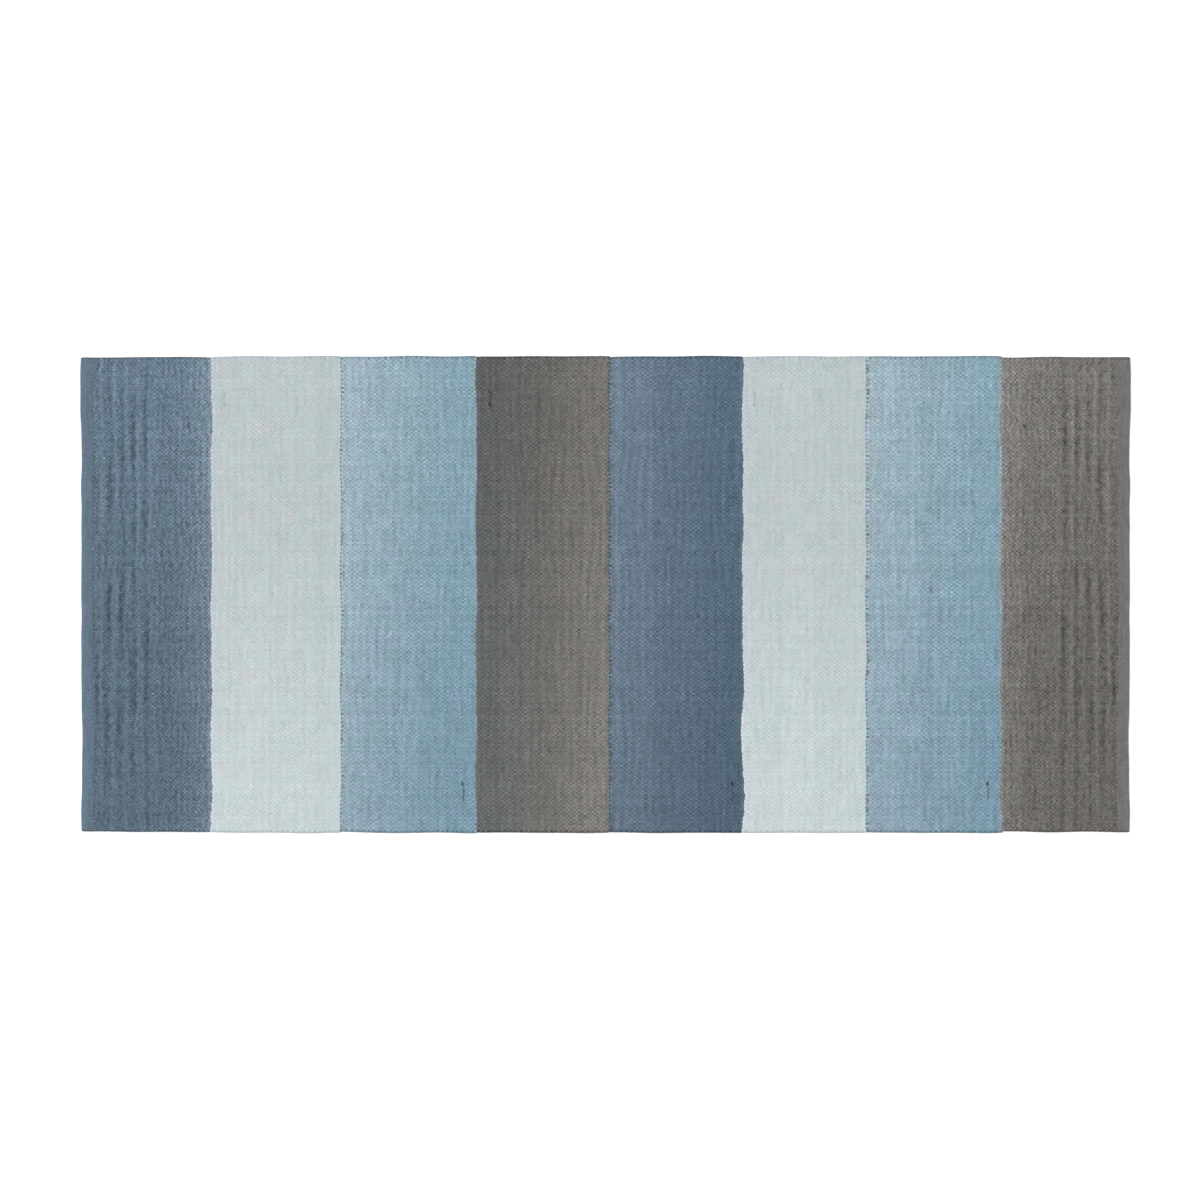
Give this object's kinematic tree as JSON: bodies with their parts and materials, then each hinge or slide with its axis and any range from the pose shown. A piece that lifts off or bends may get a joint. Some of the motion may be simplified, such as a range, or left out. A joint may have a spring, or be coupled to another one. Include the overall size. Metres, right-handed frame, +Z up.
{
  "type": "runner rug",
  "caption": "Flat-woven cotton runner rug in cross bands of slate, pale grey, sky blue, taupe and warm grey, with rounded selvedges and narrow turned hems at both ends.",
  "frame": {"origin": "centre of the underside, on the surface that the rug lies on", "axes": "+X along the length towards the warm grey end, +Y across the width towards the back selvedge, +Z up out of the upper face"},
  "size_m": [1.318, 0.6, 0.0044],
  "materials": {
    "slate_weft_left": "matte",
    "pale_grey_weft": "matte",
    "sky_blue_weft": "matte",
    "taupe_weft": "matte",
    "slate_weft_middle": "matte",
    "warm_grey_weft": "matte",
    "dark_pick": "matte",
    "undyed_warp": "matte",
    "slate_thread": "matte",
    "warm_grey_thread": "matte"
  },
  "bodies": {
    "root": {"weft_band_1_slate": "slate_weft_left", "weft_band_2_pale_grey": "pale_grey_weft", "weft_band_3_sky_blue": "sky_blue_weft", "weft_band_4_taupe": "taupe_weft", "weft_band_5_slate": "slate_weft_middle", "weft_band_6_pale_grey": "pale_grey_weft", "weft_band_7_sky_blue": "sky_blue_weft", "weft_band_8_warm_grey": "warm_grey_weft", "dark_join_pick_2_3": "dark_pick", "dark_join_pick_4_5": "dark_pick", "dark_join_pick_6_7": "dark_pick", "warp_threads": "undyed_warp", "front_selvedge_cord": "undyed_warp", "back_selvedge_cord": "undyed_warp", "left_hem": "slate_weft_left", "right_hem": "warm_grey_weft", "left_hem_stitching": "slate_thread", "right_hem_stitching": "warm_grey_thread"}
  },
  "joints": []
}
